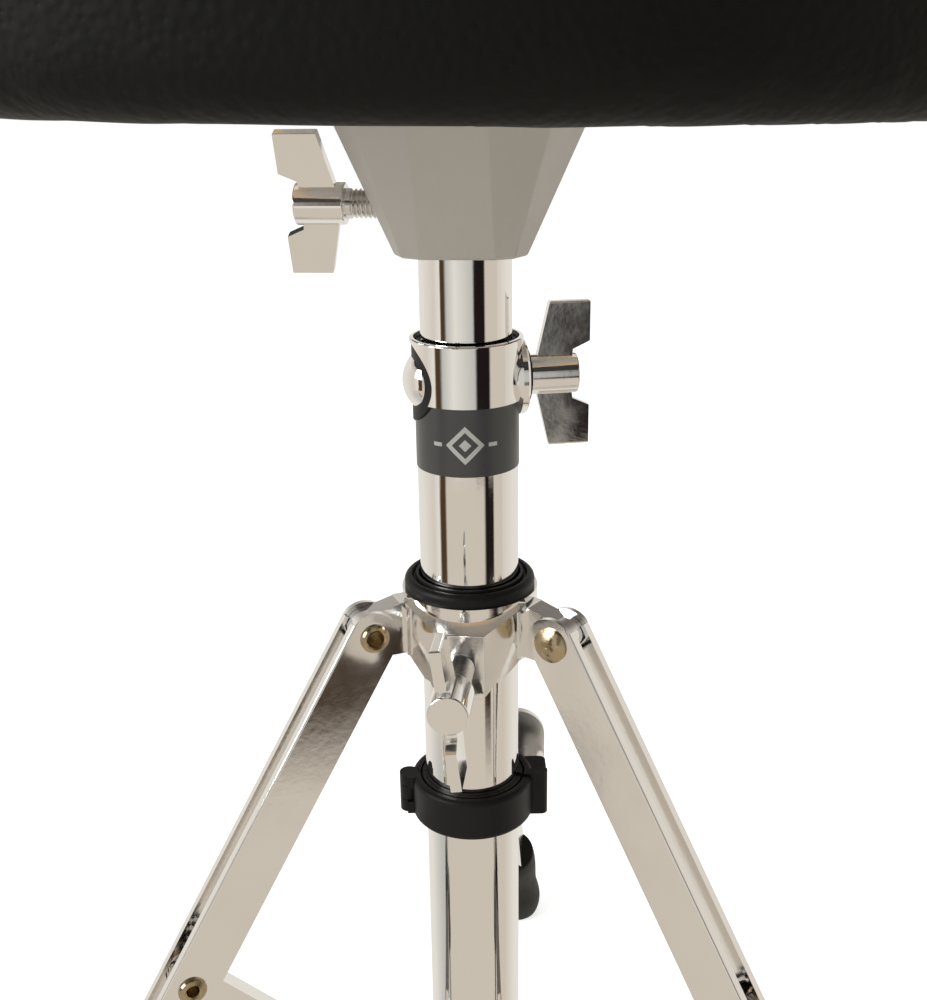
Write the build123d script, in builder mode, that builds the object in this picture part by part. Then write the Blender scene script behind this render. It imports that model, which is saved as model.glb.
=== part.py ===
from build123d import *
import os
from math import atan2, cos, degrees, hypot, radians, sin, sqrt

# Drum throne: a round padded seat on a cast bracket, a telescoping post with a through-bolt clamp,
# and a folding tripod of three double-strap legs with braces.
# Millimetres. The origin is on the post's axis at floor level, +Z up; the rear leg points along +Y.

# ---- driving dimensions -------------------------------------------------------------------------
LEGS = {"rear": 90, "left": 210, "right": 330}     # azimuth of each leg, in degrees

# post
OUTER_TUBE_R = 14.3          # 28.6 mm (1 1/8 in) tube
TUBE_WALL = 1.5
INNER_TUBE_R = 12.7          # 25.4 mm (1 in) tube
OUTER_TUBE_BOTTOM, OUTER_TUBE_TOP = 50.0, 312.5
INNER_TUBE_BOTTOM, INNER_TUBE_TOP = 170.0, 378.0
HEIGHT_TRAVEL = 110.0        # how far the seat post can be raised
RUNNING_GAP = 0.08           # radial clearance of a shaft or tube in its hole
BUSH_TOP = 314.6
LABEL_BOTTOM, LABEL_TOP = 279.5, 298.8

# clamp and its through bolt
CLAMP_BOTTOM, CLAMP_TOP = 299.0, 316.0
CLAMP_INNER_R, CLAMP_OUTER_R = 14.6, 15.8
CLAMP_BOLT_Z = 304.0
CLAMP_NUT_AZIMUTH = 15       # the nut's side; the bolt's head is opposite
BOLT_R = 4.0                 # M8 shank
BOLT_HOLE_R = 4.3

# wing castings, all alike
WING_BARREL_R, WING_BARREL_LENGTH = 5.6, 13.7
WING_TIP = 20.5
WING_THICKNESS = 3.0

# seat
SEAT_R, SEAT_BOTTOM, SEAT_TOP = 165.0, 379.7, 461.0
BOARD_R, BOARD_BOTTOM, BOARD_TOP = 150.0, 385.0, 397.0
BRACKET_BOTTOM, BRACKET_TOP = 339.0, 385.0
BRACKET_FLANGE_SIDE, BRACKET_FLANGE_THICKNESS = 100.0, 4.0
BRACKET_BOLT_SPACING = 76.0
SEAT_BOLT_Z, SEAT_BOLT_AZIMUTH = 351.4, 180
SEAT_WING_START = 31.7       # distance from the post's axis to the wing's barrel
SEAT_WING_TURN = 20          # degrees that its blades stand away from the upright

# leg collar
COLLAR_BOTTOM, COLLAR_TOP = 216.5, 242.2
COLLAR_WALL_BOTTOM = 225.5    # underside of the walls beside the boss
COLLAR_NECK_R = 19.8
COLLAR_BORE_R = 14.9
COLLAR_BOLT_Z, COLLAR_WING_START = 227.1, 39.3
COLLAR_WING_TURN = -7
BOSS_FACE, BOSS_HALF_WIDTH = 24.0, 6.7
RING_R, RING_TOP = 19.0, 246.2

# legs
PIVOT_R, PIVOT_Z = 31.76, 232.75
LEG_LEAN = 30.9              # degrees from the vertical
STRAP_HALF_DEPTH = 7.7
LEG_HALF_WIDTH = 5.25
STRAP_WEB = 1.6
FLANGE_WIDTH, FLANGE_THICKNESS = 2.8, 1.2
EAR_HALF_WIDTH, EAR_END_R = 3.5, 6.3
STRAP_LENGTH = 255.0
BRACE_PIVOT_ALONG_LEG = 118.1
FOOT_START, FOOT_R = 212.0, 10.9
RIVET_R = 3.0

# braces and lower bracket
LOWER_PIVOT_R, LOWER_PIVOT_Z = 29.0, 62.6
BRACE_HALF_DEPTH, BRACE_HALF_WIDTH, BRACE_SHEET = 6.0, 3.5, 1.2
BRACE_RIVET_R = 2.5
PIN_R = 2.0
PIN_TRAVEL_ALONG, PIN_TRAVEL_ACROSS = 5.4, 1.6    # how far the pin wanders in the brace's slot
LOWER_BRACKET_BOTTOM, LOWER_BRACKET_TOP, LOWER_BRACKET_R = 51.5, 74.0, 17.2

# memory lock
LOCK_BOTTOM, LOCK_TOP, LOCK_R = 165.6, 178.8, 18.7
LOCK_AZIMUTH = 7             # direction of its screw lugs; the hinge is opposite
LOCK_SCREW_R, LOCK_SCREW_OFFSET, LOCK_SCREW_Z = 2.5, 19.2, 172.2

os.makedirs("parts", exist_ok=True)


# ---- helpers ------------------------------------------------------------------------------------
def outward(azimuth):
    """Horizontal unit vector pointing away from the post's axis."""
    return Vector(cos(radians(azimuth)), sin(radians(azimuth)), 0)


def tangent(azimuth):
    """Horizontal unit vector square to outward(), anticlockwise seen from above."""
    return Vector(-sin(radians(azimuth)), cos(radians(azimuth)), 0)


def bolt_plane(azimuth, radius, height):
    """Plane whose normal points outwards; its X runs along the tangent and its Y points up."""
    return Plane(outward(azimuth) * radius + Vector(0, 0, height), tangent(azimuth), outward(azimuth))


def side_plane(azimuth, radius, height):
    """Upright plane through the post's axis; its X points outwards and its Y points up."""
    return Plane(outward(azimuth) * radius + Vector(0, 0, height), outward(azimuth), -tangent(azimuth))


def bar_plane(azimuth, radius, height, lean, towards=1):
    """Plane of a leg or brace: X runs down the bar, Y across its depth, Z across its width."""
    along = outward(azimuth) * (towards * sin(radians(lean))) - Vector(0, 0, cos(radians(lean)))
    return Plane(outward(azimuth) * radius + Vector(0, 0, height), along, -tangent(azimuth))


def dome_height(half_width, rise):
    """Height of a shallow dome halfway between its rim and its crown."""
    sphere_r = (half_width**2 + rise**2) / (2 * rise)
    return sqrt(sphere_r**2 - (half_width / 2) ** 2) - (sphere_r - rise)


def save(builder, name):
    """Label a finished piece and write it."""
    builder.part.label = name
    export_step(builder.part, f"parts/{name}.step")


def ring(r_in, r_out, bottom, top):
    """Add a plain tube about the post's axis to the part that is being built."""
    with BuildSketch(Plane.XY.offset(bottom)) as section:
        Circle(r_out)
        if r_in > 0:
            Circle(r_in, mode=Mode.SUBTRACT)
    extrude(section.sketch, amount=top - bottom)


def wing(name, azimuth, start, height, bore_r, bore_depth, turn=0):
    """A wing casting: a barrel along the bolt's axis with two swept blades, turned about that axis."""
    upright = side_plane(azimuth, start, height)
    across = upright.z_dir * cos(radians(turn)) + upright.y_dir * sin(radians(turn))
    blades = Plane(upright.origin, upright.x_dir, across)
    with BuildPart() as casting:
        with BuildSketch(bolt_plane(azimuth, start, height)):
            Circle(WING_BARREL_R)
        extrude(amount=WING_BARREL_LENGTH)
        fillet(casting.edges(), 0.5)
        for side in (1, -1):
            with BuildSketch(blades):
                with BuildLine():
                    Polyline((1.8, side * 3), (5.8, side * WING_TIP), (17.2, side * WING_TIP),
                             (17.2, side * 9.2), (12.4, side * 7.0), (12.0, side * 3), close=True)
                make_face()
            extrude(amount=WING_THICKNESS / 2, both=True)
            tip = blades.origin + blades.x_dir * 11.5 + blades.y_dir * (side * WING_TIP)
            tip_face = casting.faces().sort_by_distance(tip)[0]
            fillet(tip_face.edges(), 0.5)
        with BuildSketch(bolt_plane(azimuth, start, height)):
            Circle(bore_r)
        extrude(amount=bore_depth, mode=Mode.SUBTRACT)
    save(casting, name)


def threaded_stud(name, azimuth, tip, end, height, thread_from, thread_to):
    """A stud with ring-shaped thread crests between two distances from the post's axis."""
    pitch, depth = 1.25, 0.6
    turns = int((thread_to - thread_from) / pitch)
    outline = [(tip, 0), (tip, BOLT_R - 0.8), (tip + 0.8, BOLT_R), (thread_from, BOLT_R)]
    for turn in range(turns):
        root = thread_from + turn * pitch
        outline += [(root + 0.35, BOLT_R - depth), (root + 0.6, BOLT_R - depth), (root + 0.95, BOLT_R)]
    outline += [(end, BOLT_R), (end, 0)]
    with BuildPart() as stud:
        with BuildSketch(side_plane(azimuth, 0, height)):
            with BuildLine():
                Polyline(*outline, close=True)
            make_face()
        revolve(axis=Axis(Vector(0, 0, height), outward(azimuth)))
    save(stud, name)


# ---- post ---------------------------------------------------------------------------------------
with BuildPart() as outer_tube:
    ring(OUTER_TUBE_R - TUBE_WALL, OUTER_TUBE_R, OUTER_TUBE_BOTTOM, OUTER_TUBE_TOP)
    with BuildSketch(bolt_plane(CLAMP_NUT_AZIMUTH, 0, CLAMP_BOLT_Z)):
        Circle(BOLT_HOLE_R)
    extrude(amount=20, both=True, mode=Mode.SUBTRACT)
save(outer_tube, "outer_tube")

with BuildPart() as tube_bush:
    ring(INNER_TUBE_R + RUNNING_GAP, OUTER_TUBE_R, OUTER_TUBE_TOP, BUSH_TOP)
    fillet(tube_bush.edges().group_by(Axis.Z)[-1], 0.4)
save(tube_bush, "tube_bush")

with BuildPart() as tube_end_cap:
    ring(0, OUTER_TUBE_R, OUTER_TUBE_BOTTOM - 3, OUTER_TUBE_BOTTOM)
    ring(9, OUTER_TUBE_R - TUBE_WALL, OUTER_TUBE_BOTTOM, OUTER_TUBE_BOTTOM + 10)
    with BuildSketch(Plane.XY.offset(OUTER_TUBE_BOTTOM - 3)):
        Circle(5)
    extrude(amount=3)
    fillet(tube_end_cap.edges().group_by(Axis.Z)[0].sort_by(SortBy.RADIUS)[-1], 1.2)
save(tube_end_cap, "tube_end_cap")

SLOT_TOP = CLAMP_BOLT_Z + BOLT_R + 0.25
SLOT_BOTTOM = CLAMP_BOLT_Z - HEIGHT_TRAVEL - BOLT_R - 0.25
with BuildPart() as inner_tube:
    ring(INNER_TUBE_R - TUBE_WALL, INNER_TUBE_R, INNER_TUBE_BOTTOM, INNER_TUBE_TOP)
    with BuildSketch(bolt_plane(CLAMP_NUT_AZIMUTH, 0, (SLOT_TOP + SLOT_BOTTOM) / 2)):
        SlotOverall(SLOT_TOP - SLOT_BOTTOM, 2 * BOLT_R + 0.5, rotation=90)
    extrude(amount=20, both=True, mode=Mode.SUBTRACT)
save(inner_tube, "inner_tube")

with BuildPart() as inner_tube_plug:
    ring(6, INNER_TUBE_R - TUBE_WALL, INNER_TUBE_BOTTOM, INNER_TUBE_BOTTOM + 12)
    ring(6, INNER_TUBE_R, INNER_TUBE_BOTTOM - 2, INNER_TUBE_BOTTOM)
save(inner_tube_plug, "inner_tube_plug")

with BuildPart() as label_band:
    ring(OUTER_TUBE_R, OUTER_TUBE_R + 0.25, LABEL_BOTTOM, LABEL_TOP)
save(label_band, "label_band")

# ---- clamp --------------------------------------------------------------------------------------
CLAMP_AXIS = Axis(Vector(0, 0, CLAMP_BOLT_Z), outward(CLAMP_NUT_AZIMUTH))
PAD_R = 11.0                 # radius of the saddle pad under the bolt's head
PAD_OUTER_R = 15.2           # distance from the post's axis to the pad's outer face
EAR_FACE = 16.2              # distance from the post's axis to the ear's flat face

with BuildPart() as clamp_band:
    ring(0, CLAMP_OUTER_R, CLAMP_BOTTOM, CLAMP_TOP)
    fillet(clamp_band.edges().group_by(Axis.Z)[-1].sort_by(SortBy.RADIUS)[-1], 0.5)
    with BuildSketch(side_plane(CLAMP_NUT_AZIMUTH, 0, CLAMP_BOLT_Z)):
        with BuildLine():
            Polyline((6, 0), (6, 7.5), (11.5, 9.2), (14.2, 10.8), (15.6, 10.8), (EAR_FACE, 10.2),
                     (EAR_FACE, 0), close=True)
        make_face()
    revolve(axis=CLAMP_AXIS)
    with BuildSketch(Plane.XY.offset(CLAMP_BOTTOM - 10)):
        Circle(CLAMP_INNER_R)
    extrude(amount=CLAMP_TOP - CLAMP_BOTTOM + 20, mode=Mode.SUBTRACT)
    with BuildSketch(bolt_plane(CLAMP_NUT_AZIMUTH, 0, CLAMP_BOLT_Z)):
        Circle(BOLT_HOLE_R)
    extrude(amount=30, both=True, mode=Mode.SUBTRACT)
    with BuildSketch(bolt_plane(CLAMP_NUT_AZIMUTH + 180, 0, CLAMP_BOLT_Z)):
        Circle(PAD_R + 0.2)
    extrude(amount=30, mode=Mode.SUBTRACT)
save(clamp_band, "clamp_band")

with BuildPart() as clamp_saddle_pad:
    with BuildSketch(bolt_plane(CLAMP_NUT_AZIMUTH + 180, 0, CLAMP_BOLT_Z)):
        Circle(PAD_R)
        Circle(BOLT_HOLE_R, mode=Mode.SUBTRACT)
    extrude(amount=20)
    with BuildSketch(Plane.XY.offset(CLAMP_BOLT_Z - 20)):
        Circle(PAD_OUTER_R)
    extrude(amount=40, mode=Mode.INTERSECT)
    with BuildSketch(Plane.XY.offset(CLAMP_BOLT_Z - 20)):
        Circle(CLAMP_INNER_R)
    extrude(amount=40, mode=Mode.SUBTRACT)
save(clamp_saddle_pad, "clamp_saddle_pad")

NUT_START = 17.3
with BuildPart() as clamp_washer:
    with BuildSketch(bolt_plane(CLAMP_NUT_AZIMUTH, EAR_FACE, CLAMP_BOLT_Z)):
        Circle(7.4)
        Circle(BOLT_HOLE_R, mode=Mode.SUBTRACT)
    extrude(amount=NUT_START - EAR_FACE - 0.1)
save(clamp_washer, "clamp_washer")

HEAD_R, HEAD_APEX = 8.4, 17.9
with BuildPart() as clamp_bolt:
    with BuildSketch(side_plane(CLAMP_NUT_AZIMUTH, 0, CLAMP_BOLT_Z)):
        with BuildLine():
            Polyline((-11, 0), (-11, HEAD_R - 0.4), (-11.4, HEAD_R), (-13.4, HEAD_R))
            ThreePointArc((-13.4, HEAD_R), (-13.4 - dome_height(HEAD_R, HEAD_APEX - 13.4), HEAD_R / 2),
                          (-HEAD_APEX, 0))
            Line((-HEAD_APEX, 0), (-11, 0))
        make_face()
    revolve(axis=CLAMP_AXIS)
    with BuildSketch(Plane.XY.offset(CLAMP_BOLT_Z - 20)):
        Circle(PAD_OUTER_R + 0.05)
    extrude(amount=40, mode=Mode.SUBTRACT)
    with BuildSketch(bolt_plane(CLAMP_NUT_AZIMUTH, -16, CLAMP_BOLT_Z)):
        Circle(BOLT_R)
    extrude(amount=45)
    fillet(clamp_bolt.edges().sort_by(CLAMP_AXIS)[-1], 0.6)
save(clamp_bolt, "clamp_bolt")

wing("clamp_wing_nut", CLAMP_NUT_AZIMUTH, NUT_START, CLAMP_BOLT_Z, BOLT_R + RUNNING_GAP, 12.5)

# ---- seat ---------------------------------------------------------------------------------------
with BuildPart() as seat_cushion:
    with BuildSketch(Plane.XY.offset(SEAT_BOTTOM)):
        Circle(SEAT_R)
    extrude(amount=SEAT_TOP - SEAT_BOTTOM)
    fillet(seat_cushion.edges().group_by(Axis.Z)[-1], 24)
    fillet(seat_cushion.edges().group_by(Axis.Z)[0], 7)
    with BuildSketch(Plane.XY.offset(SEAT_BOTTOM)):
        Circle(BOARD_R + 0.4)
    extrude(amount=BOARD_TOP + 0.2 - SEAT_BOTTOM, mode=Mode.SUBTRACT)
save(seat_cushion, "seat_cushion")

BOLT_SPOTS = GridLocations(BRACKET_BOLT_SPACING, BRACKET_BOLT_SPACING, 2, 2)
with BuildPart() as seat_board:
    with BuildSketch(Plane.XY.offset(BOARD_BOTTOM)):
        Circle(BOARD_R)
    extrude(amount=BOARD_TOP - BOARD_BOTTOM)
    chamfer(seat_board.edges().group_by(Axis.Z)[-1], 1.5)
    with BuildSketch(Plane.XY.offset(BOARD_BOTTOM)):
        with BOLT_SPOTS:
            Circle(4.0)
    extrude(amount=20, mode=Mode.SUBTRACT)
    with BuildSketch(Plane.XY.offset(BOARD_TOP - 1.6)):
        with BOLT_SPOTS:
            Circle(9.0)
    extrude(amount=5, mode=Mode.SUBTRACT)
save(seat_board, "seat_board")

with BuildPart() as seat_tee_nuts:
    with BuildSketch(Plane.XY.offset(BOARD_TOP - 1.6)):
        with BOLT_SPOTS:
            Circle(8.8)
    extrude(amount=1.5)
    with BuildSketch(Plane.XY.offset(BOARD_BOTTOM + 2)):
        with BOLT_SPOTS:
            Circle(3.95)
    extrude(amount=BOARD_TOP - BOARD_BOTTOM - 3.6)
    with BuildSketch(Plane.XY.offset(BOARD_BOTTOM)):
        with BOLT_SPOTS:
            Circle(3.0)
    extrude(amount=20, mode=Mode.SUBTRACT)
save(seat_tee_nuts, "seat_tee_nuts")

with BuildPart() as seat_bracket_bolts:
    with BuildSketch(Plane.XY.offset(BRACKET_TOP - BRACKET_FLANGE_THICKNESS - 5)):
        with BOLT_SPOTS:
            RegularPolygon(5.7, 6)
    extrude(amount=4)
    with BuildSketch(Plane.XY.offset(BRACKET_TOP - BRACKET_FLANGE_THICKNESS - 1)):
        with BOLT_SPOTS:
            Circle(7.0)
    extrude(amount=1)
    with BuildSketch(Plane.XY.offset(BRACKET_TOP - BRACKET_FLANGE_THICKNESS - 1)):
        with BOLT_SPOTS:
            Circle(3.0)
    extrude(amount=15)
save(seat_bracket_bolts, "seat_bracket_bolts")

with BuildPart() as seat_under_cloth:
    ring(74, BOARD_R - 1, BOARD_BOTTOM - 0.9, BOARD_BOTTOM)
save(seat_under_cloth, "seat_under_cloth")

# The bracket is a twelve-sided cone: four upright panels of constant width, two tapering panels at
# each corner between them.
PANEL_HALF_WIDTH = 9.7
PANEL_FLARE, CORNER_FLARE = 0.45, 0.403      # how much the sides move out for each mm of height
BRACKET_WALL = 4.0
SOCKET_R = 17.0


def bracket_outline(height, inset=0.0):
    """The bracket's outline at a height, as the twelve corners of a polygon."""
    panel = 17.4 + PANEL_FLARE * (height - BRACKET_BOTTOM) - inset
    corner = (20.9 + CORNER_FLARE * (height - BRACKET_BOTTOM) - inset) * cos(radians(45))
    half = PANEL_HALF_WIDTH - inset / 2
    quarter = [(half, panel), (corner, corner), (panel, half)]
    corners = []
    for turn in (0, 90, 180, 270):
        c, s = round(cos(radians(turn))), round(sin(radians(turn)))
        corners += [(x * c + y * s, y * c - x * s) for x, y in quarter]
    return corners


# The space between the bracket's walls and its socket, open at the top; one web stays for the bolt.
with BuildPart() as bracket_hollow:
    for height in (BRACKET_BOTTOM + 7, BRACKET_TOP + 1):
        with BuildSketch(Plane.XY.offset(height)):
            with BuildLine():
                Polyline(*bracket_outline(height, BRACKET_WALL), close=True)
            make_face()
    loft()
    with BuildSketch(Plane.XY.offset(BRACKET_BOTTOM)):
        Circle(SOCKET_R)
        with Locations((-25, 0)):
            Rectangle(50, 18)
    extrude(amount=60, mode=Mode.SUBTRACT)

with BuildPart() as seat_bracket:
    for height in (BRACKET_BOTTOM, BRACKET_TOP - 1):
        with BuildSketch(Plane.XY.offset(height)):
            with BuildLine():
                Polyline(*bracket_outline(height), close=True)
            make_face()
    loft()
    creases = seat_bracket.edges().filter_by(lambda edge: abs(edge.tangent_at(0.5).Z) > 0.5)
    fillet(creases + seat_bracket.edges().group_by(Axis.Z)[0], 1.3)
    with BuildSketch(Plane.XY.offset(BRACKET_TOP - BRACKET_FLANGE_THICKNESS)):
        RectangleRounded(BRACKET_FLANGE_SIDE, BRACKET_FLANGE_SIDE, 14)
    extrude(amount=BRACKET_FLANGE_THICKNESS)
    add(bracket_hollow.part, mode=Mode.SUBTRACT)
    with BuildSketch(Plane.XY.offset(BRACKET_BOTTOM - 1)):
        Circle(INNER_TUBE_R + RUNNING_GAP)
    extrude(amount=INNER_TUBE_TOP + 0.3 - BRACKET_BOTTOM + 1, mode=Mode.SUBTRACT)
    with BuildSketch(bolt_plane(SEAT_BOLT_AZIMUTH, 5, SEAT_BOLT_Z)):
        Circle(BOLT_R + RUNNING_GAP)
    extrude(amount=60, mode=Mode.SUBTRACT)
    with BuildSketch(Plane.XY.offset(BRACKET_TOP - 10)):
        with BOLT_SPOTS:
            Circle(3.3)
    extrude(amount=20, mode=Mode.SUBTRACT)
save(seat_bracket, "seat_bracket")

threaded_stud("seat_bolt_stud", SEAT_BOLT_AZIMUTH, INNER_TUBE_R + 0.15, SEAT_WING_START + 10, SEAT_BOLT_Z,
              20.5, SEAT_WING_START - 0.5)
wing("seat_bolt_wing", SEAT_BOLT_AZIMUTH, SEAT_WING_START, SEAT_BOLT_Z, BOLT_R, 10, SEAT_WING_TURN)

# ---- leg collar ---------------------------------------------------------------------------------
EAR_ROOT = 17.0
RING_SEAT_R = 17.4           # the black ring's spigot stands in this counterbore

with BuildPart() as leg_collar:
    # walls between the ears, and the boss for the wing bolt at the front
    with BuildSketch(Plane.XY.offset(COLLAR_BOTTOM)):
        Circle(COLLAR_NECK_R)
        with BuildLine():
            Polyline((-BOSS_HALF_WIDTH, -BOSS_FACE), (BOSS_HALF_WIDTH, -BOSS_FACE), (17.6, -13.2),
                     (14, 0), (-14, 0), (-17.6, -13.2), close=True)
        make_face()
    extrude(amount=COLLAR_TOP - COLLAR_BOTTOM)
    # sloping roof of the front half, from the neck down to the boss
    with BuildSketch(Plane.YZ.offset(-40)):
        with BuildLine():
            Polyline((-12.5, COLLAR_TOP - 0.4), (-12.5, COLLAR_TOP + 5), (-60, COLLAR_TOP + 5),
                     (-60, COLLAR_TOP - 6.3), (-BOSS_FACE - 1, COLLAR_TOP - 6.3), close=True)
        make_face()
    extrude(amount=80, mode=Mode.SUBTRACT)
    # gussets under the walls, narrowing to the boss
    with BuildSketch(Plane.XZ.offset(-40)):
        for side in (1, -1):
            with BuildLine():
                Polyline((side * 40, COLLAR_BOTTOM - 1), (side * BOSS_HALF_WIDTH, COLLAR_BOTTOM - 1),
                         (side * BOSS_HALF_WIDTH, COLLAR_BOTTOM), (side * 16.5, COLLAR_WALL_BOTTOM),
                         (side * 40, COLLAR_WALL_BOTTOM), close=True)
            make_face()
    extrude(amount=80, mode=Mode.SUBTRACT)
    # the rear half ends at the walls' underside
    with BuildSketch(Plane.XY.offset(COLLAR_BOTTOM - 1)):
        with Locations((0, 22)):
            Rectangle(80, 60)
    extrude(amount=COLLAR_WALL_BOTTOM - COLLAR_BOTTOM + 1, mode=Mode.SUBTRACT)
    # rounded underside of the boss
    with BuildSketch(Plane.XZ.offset(10)):
        with Locations((0, COLLAR_BOTTOM)):
            Rectangle(60, 8)
        with Locations((0, COLLAR_BOTTOM + 9)):
            Circle(10.5, mode=Mode.SUBTRACT)
    extrude(amount=20, mode=Mode.SUBTRACT)
    front = leg_collar.faces().sort_by(Axis.Y)[0]
    fillet(front.edges(), 0.5)
    # neck, which holds the black ring
    with BuildSketch(Plane.XY.offset(COLLAR_WALL_BOTTOM)):
        Circle(COLLAR_NECK_R)
    extrude(amount=COLLAR_TOP - COLLAR_WALL_BOTTOM)
    # ears that carry the legs, on thicker roots
    for azimuth in LEGS.values():
        for reach, half_width, top in ((5, EAR_HALF_WIDTH + 2, 2.4), (6, EAR_HALF_WIDTH, 0.8)):
            with BuildSketch(side_plane(azimuth, 0, 0).offset(-half_width)):
                with Locations((EAR_ROOT + reach / 2, (COLLAR_WALL_BOTTOM + COLLAR_TOP - top) / 2)):
                    Rectangle(reach, COLLAR_TOP - top - COLLAR_WALL_BOTTOM)
            extrude(amount=2 * half_width)
        with BuildSketch(side_plane(azimuth, 0, 0).offset(-EAR_HALF_WIDTH)):
            with BuildLine():
                Polyline((EAR_ROOT, COLLAR_WALL_BOTTOM), (EAR_ROOT, COLLAR_TOP - 0.8),
                         (22, COLLAR_TOP - 0.8), (PIVOT_R, PIVOT_Z + EAR_END_R),
                         (PIVOT_R, PIVOT_Z - EAR_END_R), (25, COLLAR_WALL_BOTTOM), close=True)
            make_face()
            with Locations((PIVOT_R, PIVOT_Z)):
                Circle(EAR_END_R)
        extrude(amount=2 * EAR_HALF_WIDTH)
        with BuildSketch(side_plane(azimuth, PIVOT_R, PIVOT_Z)):
            Circle(RIVET_R)
        extrude(amount=10, both=True, mode=Mode.SUBTRACT)
    # bore, seat of the ring, and the bolt's hole
    with BuildSketch(Plane.XY.offset(COLLAR_BOTTOM - 1)):
        Circle(COLLAR_BORE_R)
    extrude(amount=COLLAR_TOP - COLLAR_BOTTOM + 2, mode=Mode.SUBTRACT)
    with BuildSketch(Plane.XY.offset(COLLAR_TOP - 4)):
        Circle(RING_SEAT_R)
    extrude(amount=10, mode=Mode.SUBTRACT)
    with BuildSketch(bolt_plane(270, 5, COLLAR_BOLT_Z)):
        Circle(BOLT_R + RUNNING_GAP)
    extrude(amount=40, mode=Mode.SUBTRACT)
save(leg_collar, "leg_collar")

with BuildPart() as collar_ring:
    with BuildSketch(Plane.XZ):
        with BuildLine():
            Polyline((COLLAR_BORE_R, COLLAR_TOP - 3.9), (RING_SEAT_R - 0.1, COLLAR_TOP - 3.9),
                     (RING_SEAT_R - 0.1, COLLAR_TOP), (RING_R, COLLAR_TOP + 0.1), (RING_R, RING_TOP - 1.9))
            ThreePointArc((RING_R, RING_TOP - 1.9), (RING_R - 1.1, RING_TOP - 0.5), (RING_R - 2.1, RING_TOP - 0.4))
            Polyline((RING_R - 2.1, RING_TOP - 0.4), (16.4, RING_TOP - 1.3), (15.9, RING_TOP - 1.3),
                     (15.7, RING_TOP), (COLLAR_BORE_R, RING_TOP), (COLLAR_BORE_R, COLLAR_TOP - 3.9))
        make_face()
    revolve(axis=Axis.Z)
save(collar_ring, "collar_ring")


def rivet(plane, shank_r, grip, head_r, eyelet_r, hole_r):
    """A tubular rivet across a joint: a domed head on one side and a rolled, hollow end on the other."""
    rim, dome = 0.6, 2.2
    profile = Plane(plane.origin, plane.x_dir, -plane.y_dir)
    with BuildSketch(profile) as section:
        with BuildLine():
            Polyline((0, 4.8 - grip), (hole_r, 4.8 - grip), (hole_r, -grip - 0.9), (hole_r + 0.5, -grip - 1.3),
                     (eyelet_r - 0.4, -grip - 1.1), (eyelet_r, -grip - 0.5), (eyelet_r, -grip),
                     (shank_r, -grip), (shank_r, grip), (head_r, grip), (head_r, grip + rim))
            ThreePointArc((head_r, grip + rim), (head_r / 2, grip + rim + dome_height(head_r, dome - rim)),
                          (0, grip + dome))
            Line((0, grip + dome), (0, 4.8 - grip))
        make_face()
    revolve(section.sketch, axis=Axis(plane.origin, plane.z_dir))


with BuildPart() as leg_pivot_rivets:
    for azimuth in LEGS.values():
        rivet(side_plane(azimuth, PIVOT_R, PIVOT_Z), RIVET_R, LEG_HALF_WIDTH + 0.1, 5.0, 4.2, 2.5)
save(leg_pivot_rivets, "leg_pivot_rivets")

threaded_stud("collar_bolt_stud", 270, OUTER_TUBE_R + 0.4, COLLAR_WING_START + 10, COLLAR_BOLT_Z,
              24.3, COLLAR_WING_START - 0.5)
wing("collar_bolt_wing", 270, COLLAR_WING_START, COLLAR_BOLT_Z, BOLT_R, 10, COLLAR_WING_TURN)

# ---- memory lock --------------------------------------------------------------------------------
LUG_REACH = 23.2
LUG_BOTTOM, FRONT_LUG_TOP, REAR_LUG_TOP = 165.0, 179.4, 176.6
HINGE_PIN_OFFSET = 19.7
FRONT_LUG_DEPTH, REAR_LUG_DEPTH = 3.5, 11.5


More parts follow.
